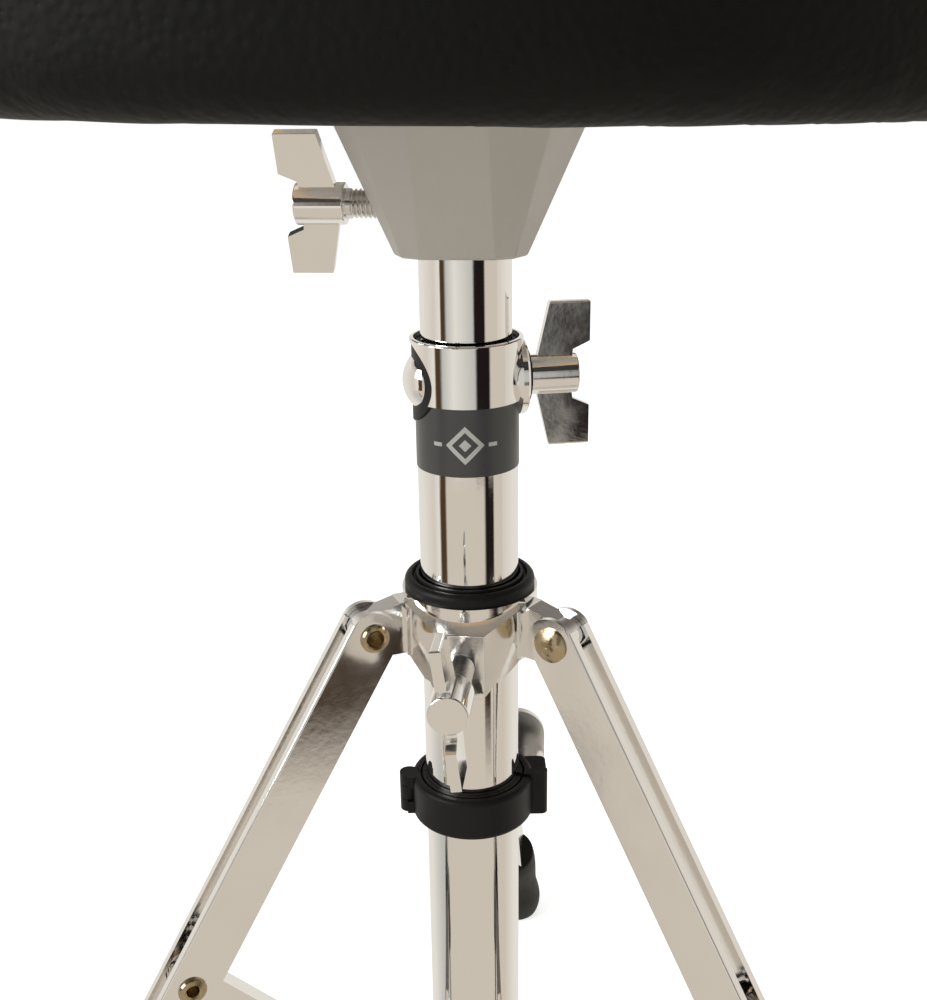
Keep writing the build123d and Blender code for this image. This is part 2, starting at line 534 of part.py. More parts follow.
def lock_half(name, side):
    """Half of the memory lock; side is 1 for the rear half and -1 for the front half."""
    lug_depth = REAR_LUG_DEPTH if side == 1 else FRONT_LUG_DEPTH
    lug_top = REAR_LUG_TOP if side == 1 else FRONT_LUG_TOP
    across = Plane((0, 0, LOCK_BOTTOM), outward(LOCK_AZIMUTH), (0, 0, 1))
    knuckles = ((LOCK_BOTTOM + 4.7, LOCK_TOP - 4.0),) if side == 1 else \
        ((LOCK_BOTTOM + 0.5, LOCK_BOTTOM + 4.5), (LOCK_TOP - 3.8, LOCK_TOP))
    with BuildPart() as half:
        with BuildSketch(across):
            Circle(LOCK_R)
        extrude(amount=LOCK_TOP - LOCK_BOTTOM)
        fillet(half.edges(), 1.5)
        with BuildSketch(across.offset(LUG_BOTTOM - LOCK_BOTTOM)):
            with Locations(((14 + LUG_REACH) / 2, 0)):
                RectangleRounded(LUG_REACH - 14, 2 * lug_depth, 2)
        extrude(amount=lug_top - LUG_BOTTOM)
        # keep one side of the split, with a gap where the screw pulls it together
        with BuildSketch(across.offset(-10)):
            with Locations((20, side * 30.4)):
                Rectangle(40, 60)
            with Locations((-15, side * 30.1)):
                Rectangle(30, 60)
        extrude(amount=40, mode=Mode.INTERSECT)
        # clear the other half's knuckles, then add this half's own
        with BuildSketch(across):
            with Locations((-HINGE_PIN_OFFSET, 0)):
                Circle(3.3)
        extrude(amount=LOCK_TOP - LOCK_BOTTOM + 2, mode=Mode.SUBTRACT)
        for low, high in knuckles:
            with BuildSketch(across.offset(low - LOCK_BOTTOM)):
                with Locations((-HINGE_PIN_OFFSET, 0)):
                    Circle(2.9)
                with Locations((-17.5, side * 2.2)):
                    Rectangle(5.5, 3.4)
            extrude(amount=high - low)
        with BuildSketch(across.offset(-3)):
            with Locations((-HINGE_PIN_OFFSET, 0)):
                Circle(1.25)
        extrude(amount=LOCK_TOP - LOCK_BOTTOM + 2, mode=Mode.SUBTRACT)
        # bore with a groove behind its lip
        with BuildSketch(across.offset(-3)):
            Circle(OUTER_TUBE_R + 0.06)
        extrude(amount=25, mode=Mode.SUBTRACT)
        with BuildSketch(across.offset(LOCK_TOP - LOCK_BOTTOM - 2)):
            Circle(16.1)
            Circle(15.5, mode=Mode.SUBTRACT)
        extrude(amount=5, mode=Mode.SUBTRACT)
        # hole for the screw, blind in the front half
        with BuildSketch(Plane(outward(LOCK_AZIMUTH) * LOCK_SCREW_OFFSET + Vector(0, 0, LOCK_SCREW_Z)
                               - tangent(LOCK_AZIMUTH) * 2.4, outward(LOCK_AZIMUTH), tangent(LOCK_AZIMUTH))):
            Circle(LOCK_SCREW_R + 0.05)
        extrude(amount=20, mode=Mode.SUBTRACT)
    save(half, name)


lock_half("lock_rear_half", 1)
lock_half("lock_front_half", -1)

with BuildPart() as lock_hinge_pin:
    with BuildSketch(Plane(outward(LOCK_AZIMUTH) * -HINGE_PIN_OFFSET + Vector(0, 0, LOCK_BOTTOM - 0.6))):
        Circle(1.2)
    extrude(amount=LOCK_TOP - LOCK_BOTTOM - 1)
save(lock_hinge_pin, "lock_hinge_pin")

# The screw's plane looks along the screw, from its fixed end in the front half to the rear lever.
screw_plane = Plane(outward(LOCK_AZIMUTH) * LOCK_SCREW_OFFSET + Vector(0, 0, LOCK_SCREW_Z),
                    outward(LOCK_AZIMUTH), tangent(LOCK_AZIMUTH))
with BuildPart() as lock_screw:
    with BuildSketch(screw_plane.offset(-2.3)):
        Circle(LOCK_SCREW_R)
    extrude(amount=20.8)
save(lock_screw, "lock_screw")

LEVER_HALF_LENGTH, LEVER_HALF_WIDTH, LEVER_SHIFT = 16.4, 9.0, 4.6
LEVER_START = 19.1           # clear of the ring, so that the lever can be spun all the way round
with BuildPart() as lock_lever_nut:
    with BuildSketch(screw_plane.offset(REAR_LUG_DEPTH + 0.2)):
        Circle(4.2)
    extrude(amount=LEVER_START - REAR_LUG_DEPTH)
    with BuildSketch(screw_plane.offset(LEVER_START)):
        with Locations((-LEVER_SHIFT, 0)):
            SlotOverall(2 * LEVER_HALF_LENGTH, 2 * LEVER_HALF_WIDTH, rotation=90)
    extrude(amount=3.0)
    fillet(lock_lever_nut.edges().group_by(Axis(Vector(0, 0, 0), tangent(LOCK_AZIMUTH)))[-1], 0.8)
    with BuildSketch(screw_plane.offset(REAR_LUG_DEPTH)):
        Circle(LOCK_SCREW_R + 0.06)
    extrude(amount=18.8 - REAR_LUG_DEPTH, mode=Mode.SUBTRACT)
save(lock_lever_nut, "lock_lever_nut")

# ---- lower bracket ------------------------------------------------------------------------------
with BuildPart() as lower_bracket:
    ring(0, LOWER_BRACKET_R, LOWER_BRACKET_BOTTOM, LOWER_BRACKET_TOP)
    fillet(lower_bracket.edges().group_by(Axis.Z)[-1].sort_by(SortBy.RADIUS)[-1], 1.2)
    for azimuth in LEGS.values():
        with BuildSketch(side_plane(azimuth, 0, 0).offset(-2)):
            with BuildLine():
                Polyline((14, LOWER_BRACKET_BOTTOM + 1), (14, LOWER_BRACKET_TOP - 2),
                         (LOWER_PIVOT_R, LOWER_PIVOT_Z + 4.6), (LOWER_PIVOT_R, LOWER_PIVOT_Z - 4.6),
                         close=True)
            make_face()
            with Locations((LOWER_PIVOT_R, LOWER_PIVOT_Z)):
                Circle(4.6)
        extrude(amount=4)
        with BuildSketch(side_plane(azimuth, LOWER_PIVOT_R, LOWER_PIVOT_Z)):
            Circle(PIN_R)
        extrude(amount=10, both=True, mode=Mode.SUBTRACT)
    with BuildSketch(Plane.XY.offset(LOWER_BRACKET_BOTTOM - 1)):
        Circle(OUTER_TUBE_R)
    extrude(amount=40, mode=Mode.SUBTRACT)
save(lower_bracket, "lower_bracket")

with BuildPart() as brace_pins:
    for azimuth in LEGS.values():
        across = side_plane(azimuth, LOWER_PIVOT_R, LOWER_PIVOT_Z)
        with BuildSketch(across.offset(-BRACE_HALF_WIDTH - 1.5)):
            Circle(PIN_R)
        extrude(amount=2 * BRACE_HALF_WIDTH + 3)
        for start in (-BRACE_HALF_WIDTH - 1.5, BRACE_HALF_WIDTH + 0.3):
            with BuildSketch(across.offset(start)):
                Circle(5.0)
            extrude(amount=1.2)
save(brace_pins, "brace_pins")

# ---- legs, braces and feet ----------------------------------------------------------------------
BRACE_TOP_R = PIVOT_R + BRACE_PIVOT_ALONG_LEG * sin(radians(LEG_LEAN))
BRACE_TOP_Z = PIVOT_Z - BRACE_PIVOT_ALONG_LEG * cos(radians(LEG_LEAN))
BRACE_LEAN = degrees(atan2(BRACE_TOP_R - LOWER_PIVOT_R, BRACE_TOP_Z - LOWER_PIVOT_Z))
BRACE_LENGTH = hypot(BRACE_TOP_R - LOWER_PIVOT_R, BRACE_TOP_Z - LOWER_PIVOT_Z)
FLANGE_START = -1.2


def strap(name, leg, side):
    """One strap of a leg: a flat web with its outer edge turned in; side is 1 or -1 across the leg."""
    inner = LEG_HALF_WIDTH - STRAP_WEB
    with BuildPart() as piece:
        with BuildSketch(leg.offset(inner if side == 1 else -LEG_HALF_WIDTH)):
            with Locations((STRAP_LENGTH / 2, 0)):
                Rectangle(STRAP_LENGTH, 2 * STRAP_HALF_DEPTH)
            Circle(STRAP_HALF_DEPTH)
        extrude(amount=STRAP_WEB)
        with BuildSketch(leg.offset(LEG_HALF_WIDTH - FLANGE_WIDTH if side == 1 else -LEG_HALF_WIDTH)):
            with Locations(((FLANGE_START + STRAP_LENGTH) / 2, STRAP_HALF_DEPTH - FLANGE_THICKNESS / 2)):
                Rectangle(STRAP_LENGTH - FLANGE_START, FLANGE_THICKNESS)
        extrude(amount=FLANGE_WIDTH)
        corner = leg.origin + leg.x_dir * 130 + leg.y_dir * STRAP_HALF_DEPTH + leg.z_dir * (side * LEG_HALF_WIDTH)
        fillet(piece.edges().sort_by_distance(corner)[0], 0.7)
        with BuildSketch(leg.offset(-10)):
            Circle(RIVET_R + 0.06)
            with Locations((BRACE_PIVOT_ALONG_LEG, 0)):
                Circle(BRACE_RIVET_R)
        extrude(amount=20, mode=Mode.SUBTRACT)
    save(piece, name)


# the boot, shaped on the rear leg and turned to each leg
boot_plane = bar_plane(90, PIVOT_R, PIVOT_Z, LEG_LEAN)
with BuildPart() as boot:
    with BuildSketch(boot_plane):
        with BuildLine():
            Line((FOOT_START, 0), (FOOT_START, 9.3))
            Spline((FOOT_START, 9.3), (FOOT_START + 1.2, 10.1), (FOOT_START + 34, FOOT_R - 0.3),
                   (FOOT_START + 56, FOOT_R - 0.2), (FOOT_START + 66, 8.6), (FOOT_START + 71, 0),
                   tangents=[(0, 1), (0, -1)])
            Line((FOOT_START + 71, 0), (FOOT_START, 0))
        make_face()
    revolve(axis=Axis(boot_plane.origin, boot_plane.x_dir))
    with BuildSketch(boot_plane.offset(-LEG_HALF_WIDTH - 0.05)):
        with Locations(((FOOT_START + STRAP_LENGTH) / 2 - 2, 0)):
            Rectangle(STRAP_LENGTH - FOOT_START + 4.1, 2 * STRAP_HALF_DEPTH + 0.1)
    extrude(amount=2 * LEG_HALF_WIDTH + 0.1, mode=Mode.SUBTRACT)
    split(bisect_by=Plane.XY, keep=Keep.TOP)


for leg_name, azimuth in LEGS.items():
    leg = bar_plane(azimuth, PIVOT_R, PIVOT_Z, LEG_LEAN)
    strap(f"leg_strap_a_{leg_name}", leg, 1)
    strap(f"leg_strap_b_{leg_name}", leg, -1)

    with BuildPart() as leg_insert:
        with BuildSketch(leg.offset(STRAP_WEB - LEG_HALF_WIDTH)):
            with Locations((STRAP_LENGTH - 18, -0.6)):
                Rectangle(36, 2 * STRAP_HALF_DEPTH - FLANGE_THICKNESS)
        extrude(amount=2 * (LEG_HALF_WIDTH - STRAP_WEB))
        with BuildSketch(leg.offset(-10)):
            with Locations((STRAP_LENGTH - 18, STRAP_HALF_DEPTH)):
                Rectangle(40, 2 * FLANGE_THICKNESS)
        extrude(amount=20, mode=Mode.SUBTRACT)
    save(leg_insert, f"leg_insert_{leg_name}")

    with BuildPart() as foot:
        add(boot.part.rotate(Axis.Z, azimuth - 90))
    save(foot, f"foot_{leg_name}")

    with BuildPart() as brace_rivet:
        rivet(side_plane(azimuth, BRACE_TOP_R, BRACE_TOP_Z), BRACE_RIVET_R, LEG_HALF_WIDTH, 4.4, 4.2, 1.9)
    save(brace_rivet, f"brace_rivet_{leg_name}")

    # A channel, open on its lower side. Its lower end is slotted round the bracket's pin.
    bar = bar_plane(azimuth, BRACE_TOP_R, BRACE_TOP_Z, BRACE_LEAN, towards=-1)
    with BuildPart() as brace:
        with BuildSketch(bar.offset(-BRACE_HALF_WIDTH)):
            with Locations((BRACE_LENGTH / 2, 0)):
                SlotOverall(BRACE_LENGTH + 2 * BRACE_HALF_DEPTH, 2 * BRACE_HALF_DEPTH)
        extrude(amount=2 * BRACE_HALF_WIDTH)
        inner_half = BRACE_HALF_WIDTH - BRACE_SHEET
        with BuildSketch(bar.offset(-inner_half)):
            with Locations((BRACE_LENGTH / 2, BRACE_SHEET)):
                Rectangle(BRACE_LENGTH + 4 * BRACE_HALF_DEPTH, 2 * BRACE_HALF_DEPTH)
            with Locations((BRACE_LENGTH, 0)):
                Rectangle(40, 4 * BRACE_HALF_DEPTH)
            Rectangle(16, 4 * BRACE_HALF_DEPTH)
        extrude(amount=2 * inner_half, mode=Mode.SUBTRACT)
        with BuildSketch(bar.offset(-10)):
            Circle(BRACE_RIVET_R + 0.06)
            with Locations((BRACE_LENGTH - PIN_TRAVEL_ALONG / 2, 0)):
                SlotOverall(PIN_TRAVEL_ALONG + 2 * (PIN_R + PIN_TRAVEL_ACROSS) + 0.5,
                            2 * (PIN_R + PIN_TRAVEL_ACROSS) + 0.5)
        extrude(amount=20, mode=Mode.SUBTRACT)
    save(brace, f"brace_{leg_name}")
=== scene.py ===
"""Looks of a folding drum throne: a padded seat, procedural finishes for every metal, plastic and
rubber piece, and a plain studio."""

import bmesh
import bpy
import numpy as np
from bpy.props import FloatProperty, FloatVectorProperty, IntProperty, PointerProperty
from mathutils import Matrix, Vector


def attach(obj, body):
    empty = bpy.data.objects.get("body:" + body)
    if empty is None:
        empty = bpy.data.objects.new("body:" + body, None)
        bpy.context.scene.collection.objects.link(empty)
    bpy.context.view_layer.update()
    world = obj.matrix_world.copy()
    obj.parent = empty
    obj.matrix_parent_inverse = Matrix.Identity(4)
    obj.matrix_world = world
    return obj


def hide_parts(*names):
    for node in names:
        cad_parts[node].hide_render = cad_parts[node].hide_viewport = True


bl_info = {
    "name": "Drum Throne Looks",
    "version": (1, 0, 0),
    "blender": (4, 5, 0),
    "location": "View3D > Sidebar > Throne",
    "description": "Builds the padded seat, the finishes and the studio of a folding drum throne",
    "category": "Add Mesh",
}

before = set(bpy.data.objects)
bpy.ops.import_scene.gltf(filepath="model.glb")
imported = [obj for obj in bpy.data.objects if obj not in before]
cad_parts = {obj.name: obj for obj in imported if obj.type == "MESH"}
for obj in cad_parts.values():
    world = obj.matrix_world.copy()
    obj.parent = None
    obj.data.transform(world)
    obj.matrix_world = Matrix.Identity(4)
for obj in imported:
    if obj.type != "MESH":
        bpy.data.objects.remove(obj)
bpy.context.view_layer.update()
LEGS = ("rear", "left", "right")

# Which solid pieces share a finish.
POLISHED = ["outer_tube", "inner_tube", "clamp_band", "clamp_bolt", "lower_bracket"]
CAST = ["clamp_wing_nut", "seat_bolt_wing", "collar_bolt_wing", "leg_collar"]
THREADED = ["seat_bolt_stud", "collar_bolt_stud", "lock_screw", "lock_hinge_pin", "seat_bracket_bolts",
            "seat_tee_nuts"]
SHEET = [f"{part}_{leg}" for part in ("leg_strap_a", "leg_strap_b", "brace") for leg in LEGS]
RIVETS = ["leg_pivot_rivets", "brace_pins"] + [f"brace_rivet_{leg}" for leg in LEGS]
MOULDED = ["tube_bush", "clamp_saddle_pad", "clamp_washer", "collar_ring", "inner_tube_plug",
           "lock_front_half", "lock_rear_half"] + [f"leg_insert_{leg}" for leg in LEGS]
RUBBER = ["tube_end_cap"] + [f"foot_{leg}" for leg in LEGS]

# The seat's swelling: frames of simulation, the still height above the lower edge, the share of the
# seat's height over which the swelling grows, and the depth of the cover's unevenness, in metres.
CLOTH_FRAMES = 20
STILL_HEIGHT = 0.012
GROWING_SHARE = 0.35
UNEVENNESS = 0.0006

# The piping follows the seat's side: sectors that are measured, harmonics kept, and points round it.
PIPING_SECTORS = 48
PIPING_HARMONICS = 7
PIPING_POINTS = 288
CORD_POINTS = 12

# The printed band: its radius, the middle of its mark above the floor, and the mark's heading.
BAND_RADIUS_MM = 14.55
MARK_HEIGHT_MM = 288.6
MARK_HEADING = 274 - 360


# ---- settings -----------------------------------------------------------------------------------
class ThroneSeatSettings(bpy.types.PropertyGroup):
    """Sizes of the padded seat."""

    radius: FloatProperty(name="Radius", description="Radius of the seat at the middle of its side",
                          default=0.1645, min=0.1, max=0.25, unit="LENGTH")
    bottom: FloatProperty(name="Bottom", description="Height of the seat's lower edge",
                          default=0.3790, unit="LENGTH")
    top: FloatProperty(name="Top", description="Height of the seat's crown before it swells",
                       default=0.4562, unit="LENGTH")
    board_radius: FloatProperty(name="Board radius", description="Radius of the recess that holds the board",
                                default=0.1506, unit="LENGTH")
    board_top: FloatProperty(name="Board top", description="Height of the board's upper face",
                             default=0.3973, unit="LENGTH")
    seam_height: FloatProperty(name="Seam height", description="Height of the piping round the top edge",
                               default=0.4455, unit="LENGTH")
    piping_radius: FloatProperty(name="Piping radius", description="Radius of the piping's cord",
                                 default=0.0021, unit="LENGTH")
    voxel: FloatProperty(name="Voxel", description="Size of the mesh that is inflated",
                         default=0.005, min=0.004, max=0.006, unit="LENGTH")
    pressure: FloatProperty(name="Pressure", description="Pressure inside the padding", default=4.0)
    swell: FloatProperty(name="Swell", description="The farthest that a point may move",
                         default=0.006, unit="LENGTH")
    tip: FloatProperty(name="Tip", description="Slope of the seat, which sits a little off level",
                       default=0.018, min=0, max=0.05)
    tip_heading: FloatProperty(name="Tip heading", description="Side towards which it dips, in degrees",
                               default=6.8)


class ThroneFinishSettings(bpy.types.PropertyGroup):
    """Colours and roughness of the finishes."""

    chrome: FloatVectorProperty(name="Chrome", description="Tint of the chrome plating", subtype="COLOR",
                                size=3, default=(0.90, 0.885, 0.865), min=0, max=1)
    alloy: FloatVectorProperty(name="Cast alloy", description="Colour of the seat's cast bracket",
                               subtype="COLOR", size=3, default=(0.40, 0.375, 0.335), min=0, max=1)
    brass: FloatVectorProperty(name="Rivets", description="Colour of the yellow-plated rivets and pins",
                               subtype="COLOR", size=3, default=(0.50, 0.40, 0.25), min=0, max=1)
    black: FloatVectorProperty(name="Black plastic", description="Colour of the moulded pieces",
                               subtype="COLOR", size=3, default=(0.005, 0.0045, 0.004), min=0, max=1)
    rubber: FloatVectorProperty(name="Rubber", description="Colour of the feet", subtype="COLOR", size=3,
                                default=(0.012, 0.011, 0.010), min=0, max=1)
    vinyl: FloatVectorProperty(name="Seat cover", description="Colour of the seat's cover",
                               subtype="COLOR", size=3, default=(0.003, 0.003, 0.0022), min=0, max=1)
    label: FloatVectorProperty(name="Label", description="Colour of the band's ground", subtype="COLOR",
                               size=3, default=(0.055, 0.054, 0.052), min=0, max=1)
    mark: FloatVectorProperty(name="Label mark", description="Colour of the diamond on the band",
                              subtype="COLOR", size=3, default=(0.42, 0.41, 0.38), min=0, max=1)
    chrome_roughness: FloatProperty(name="Chrome roughness", description="Roughness of polished chrome",
                                    default=0.055, min=0, max=1)


class ThroneStageSettings(bpy.types.PropertyGroup):
    """The studio."""

    floor_size: FloatProperty(name="Floor size", description="Half the floor's side", default=6.0,
                              unit="LENGTH")
    key_power: FloatProperty(name="Key light", description="Power of the key light in watts", default=18.0)
    fill_power: FloatProperty(name="Fill light", description="Power of the fill light in watts", default=3.0)
    surround: FloatProperty(name="Surround", description="Brightness of the studio's walls", default=1.0)
    lens: FloatProperty(name="Lens", description="Focal length in millimetres on a 36 mm sensor",
                        default=45.58)
    camera_place: FloatVectorProperty(name="Camera", description="Where the camera stands", size=3,
                                      default=(0.0406, -0.3400, 0.3900), subtype="XYZ")
    camera_turn: FloatVectorProperty(name="Camera angles", size=3, default=(97.05, -19.62, 0.911),
                                     description="Heading, tilt and roll of the camera, in degrees")
    seed: IntProperty(name="Seed", description="Seed of the cover's unevenness", default=7)


# ---- meshes -------------------------------------------------------------------------------------
def grid_surface(name, points, close_u=False, close_v=False):
    """Mesh from an array of points p[u, v] in space.
    Quad (u, v) joins p[u, v], p[u, v+1], p[u+1, v+1] and p[u+1, v], with the indices wrapped where closed."""
    rows, columns = points.shape[:2]
    index = np.arange(rows * columns).reshape(rows, columns)
    if close_u:
        index = np.vstack([index, index[:1]])
    if close_v:
        index = np.hstack([index, index[:, :1]])
    quads = np.stack([index[:-1, :-1], index[:-1, 1:], index[1:, 1:], index[1:, :-1]], axis=-1)
    mesh = bpy.data.meshes.new(name)
    mesh.from_pydata(points.reshape(-1, 3).tolist(), [], quads.reshape(-1, 4).tolist())
    mesh.update()
    piece = bpy.data.objects.new(name, mesh)
    bpy.context.scene.collection.objects.link(piece)
    return piece


def weld(piece, distance=1e-5):
    """Merge points that coincide, such as those of a revolved surface's poles, and smooth the shading."""
    form = bmesh.new()
    form.from_mesh(piece.data)
    bmesh.ops.remove_doubles(form, verts=form.verts, dist=distance)
    bmesh.ops.recalc_face_normals(form, faces=form.faces)
    form.to_mesh(piece.data)
    form.free()
    piece.data.shade_smooth()


def coordinates(mesh):
    """The mesh's points as an array with one row for each point."""
    flat = np.empty(len(mesh.vertices) * 3, np.float32)
    mesh.vertices.foreach_get("co", flat)
    return flat.reshape(-1, 3).astype(float)


def revolved(name, profile, segments):
    """Surface of revolution: p[i, j] = (r_i cos a_j, r_i sin a_j, z_i) for profile points (r_i, z_i)."""
    angle = np.linspace(0, 2 * np.pi, segments, endpoint=False)
    radius, height = np.array(profile).T
    points = np.stack([radius[:, None] * np.cos(angle), radius[:, None] * np.sin(angle),
                       np.broadcast_to(height[:, None], (len(height), segments))], axis=-1)
    piece = grid_surface(name, points, close_v=True)
    weld(piece)
    return piece


def rounded(start, corner, end, steps=8):
    """Points of a quadratic curve from start to end that is drawn towards corner:
    q(t) = (1-t)^2 start + 2t(1-t) corner + t^2 end."""
    t = np.linspace(0, 1, steps)[:, None]
    a, b, c = np.array(start), np.array(corner), np.array(end)
    return ((1 - t) ** 2 * a + 2 * t * (1 - t) * b + t**2 * c).tolist()


def inflate(piece, voxel, pressure, swell, seed):
    """Swell a closed piece with pressed cloth, and keep each point within swell of where it began.
    New place = p + d * min(1, swell / |d|) * hold(p), where d is the cloth's motion and hold falls to 0
    towards the board and the lower edge."""
    mould = piece.copy()
    mould.data = piece.data.copy()
    bpy.context.scene.collection.objects.link(mould)
    remesh = piece.modifiers.new("remesh", "REMESH")
    remesh.mode = "VOXEL"
    remesh.voxel_size = voxel
    snug = piece.modifiers.new("snug", "SHRINKWRAP")
    snug.target = mould
    bpy.context.view_layer.objects.active = piece
    for modifier in ("remesh", "snug"):
        bpy.ops.object.modifier_apply(modifier=modifier)
    bpy.data.objects.remove(mould)
    before = coordinates(piece.data)
    cloth = piece.modifiers.new("cloth", "CLOTH")
    cloth.settings.use_pressure = True
    cloth.settings.uniform_pressure_force = pressure
    cloth.settings.effector_weights.gravity = 0
    cloth.settings.quality = 5
    cloth.point_cache.frame_start = 1
    cloth.point_cache.frame_end = CLOTH_FRAMES
    for step in range(1, CLOTH_FRAMES + 1):
        bpy.context.scene.frame_set(step)
    shown = piece.evaluated_get(bpy.context.evaluated_depsgraph_get())
    after = coordinates(shown.data)
    piece.modifiers.remove(cloth)
    bpy.context.scene.frame_set(1)
    motion = after - before
    length = np.linalg.norm(motion, axis=1, keepdims=True)
    motion *= np.minimum(1, swell / np.maximum(length, 1e-9))
    low, high = before[:, 2].min(), before[:, 2].max()
    hold = np.clip((before[:, 2] - low - STILL_HEIGHT) / (GROWING_SHARE * (high - low)), 0, 1)
    random = np.random.default_rng(seed)
    angle = np.arctan2(before[:, 1], before[:, 0])
    waves = np.zeros(len(before))
    for order in (2, 3, 5, 9, 14):
        waves += np.cos(order * angle + random.uniform(0, 2 * np.pi)) / order
    outward = before * [1, 1, 0] / np.maximum(np.linalg.norm(before[:, :2], axis=1, keepdims=True), 1e-6)
    side = np.clip((np.linalg.norm(before[:, :2], axis=1) - 0.12) / 0.04, 0, 1) * hold
    moved = before + motion * hold[:, None] + outward * (waves * side * UNEVENNESS)[:, None]
    piece.data.vertices.foreach_set("co", moved.astype(np.float32).ravel())
    piece.data.update()


def tip(piece, slope, heading):
    """Lean a piece about the middle: z' = z - slope (x cos a + y sin a)."""
    points = coordinates(piece.data)
    a = np.radians(heading)
    points[:, 2] -= slope * (points[:, 0] * np.cos(a) + points[:, 1] * np.sin(a))
    piece.data.vertices.foreach_set("co", points.astype(np.float32).ravel())
    piece.data.update()


def smooth_levels(piece, levels=1):
    """A live subdivision, the same in the viewport and in a render."""
    subdivision = piece.modifiers.new("smooth", "SUBSURF")
    subdivision.levels = levels
    subdivision.render_levels = levels
    piece.data.shade_smooth()


# ---- materials ----------------------------------------------------------------------------------
def node_tree(name):
    """A new material's nodes, its links and its Principled shader."""
    material = bpy.data.materials.new(name)
    material.use_nodes = True
    nodes, links = material.node_tree.nodes, material.node_tree.links
    return material, nodes, links, nodes["Principled BSDF"]


def number(nodes, links, operation, first, second=None):
    """A Math node; each input is a socket or a plain number."""
    node = nodes.new("ShaderNodeMath")
    node.operation = operation
    for slot_index, value in enumerate((first, second)):
        if value is None:
            continue
        if isinstance(value, (int, float)):
            node.inputs[slot_index].default_value = value
        else:
            links.new(value, node.inputs[slot_index])
    return node.outputs[0]


def surface(name, colour, metallic, roughness, spread=0.0, patch=60.0, grain=900.0, relief=0.0,
            mottle=0.0, shine=0.5):
    """A finish with cloudy roughness, a fine relief and an uneven colour, all fixed to the piece."""
    material, nodes, links, shader = node_tree(name)
    place = nodes.new("ShaderNodeTexCoord").outputs["Object"]
    cloud = nodes.new("ShaderNodeTexNoise")
    cloud.inputs["Scale"].default_value = patch
    cloud.inputs["Detail"].default_value = 5
    links.new(place, cloud.inputs["Vector"])
    shader.inputs["Base Color"].default_value = (*colour, 1)
    shader.inputs["Metallic"].default_value = metallic
    shader.inputs["Roughness"].default_value = roughness
    shader.inputs["Specular IOR Level"].default_value = shine
    if spread:
        rough = nodes.new("ShaderNodeMapRange")
        rough.inputs["From Min"].default_value = 0.35
        rough.inputs["From Max"].default_value = 0.65
        rough.inputs["To Min"].default_value = max(0.02, roughness - spread)
        rough.inputs["To Max"].default_value = roughness + spread
        links.new(cloud.outputs["Fac"], rough.inputs["Value"])
        links.new(rough.outputs["Result"], shader.inputs["Roughness"])
    if mottle:
        tint = nodes.new("ShaderNodeMix")
        tint.data_type = "RGBA"
        tint.inputs[6].default_value = (*[c * (1 - mottle) for c in colour], 1)
        tint.inputs[7].default_value = (*[min(1, c * (1 + mottle)) for c in colour], 1)
        links.new(cloud.outputs["Fac"], tint.inputs[0])
        links.new(tint.outputs[2], shader.inputs["Base Color"])
    if relief:
        fine = nodes.new("ShaderNodeTexNoise")
        fine.inputs["Scale"].default_value = grain
        fine.inputs["Detail"].default_value = 3
        bump = nodes.new("ShaderNodeBump")
        bump.inputs["Strength"].default_value = relief
        bump.inputs["Distance"].default_value = 0.0004
        links.new(place, fine.inputs["Vector"])
        links.new(fine.outputs["Fac"], bump.inputs["Height"])
        links.new(bump.outputs["Normal"], shader.inputs["Normal"])
    return material


def leather_cloth(name, colour):
    """The seat's cover: small rounded cells of grain over a soft, cloudy sheen."""
    material, nodes, links, shader = node_tree(name)
    place = nodes.new("ShaderNodeTexCoord").outputs["Object"]
    cells = nodes.new("ShaderNodeTexVoronoi")
    cells.feature = "SMOOTH_F1"
    cells.inputs["Scale"].default_value = 620
    cloud = nodes.new("ShaderNodeTexNoise")
    cloud.inputs["Scale"].default_value = 30
    cloud.inputs["Detail"].default_value = 6
    bump = nodes.new("ShaderNodeBump")
    bump.inputs["Strength"].default_value = 0.35
    bump.inputs["Distance"].default_value = 0.0005
    rough = nodes.new("ShaderNodeMapRange")
    rough.inputs["To Min"].default_value = 0.42
    rough.inputs["To Max"].default_value = 0.66
    links.new(place, cells.inputs["Vector"])
    links.new(place, cloud.inputs["Vector"])
    links.new(cells.outputs["Distance"], bump.inputs["Height"])
    links.new(cloud.outputs["Fac"], rough.inputs["Value"])
    links.new(rough.outputs["Result"], shader.inputs["Roughness"])
    links.new(bump.outputs["Normal"], shader.inputs["Normal"])
    shader.inputs["Base Color"].default_value = (*colour, 1)
    shader.inputs["Specular IOR Level"].default_value = 0.15
    return material


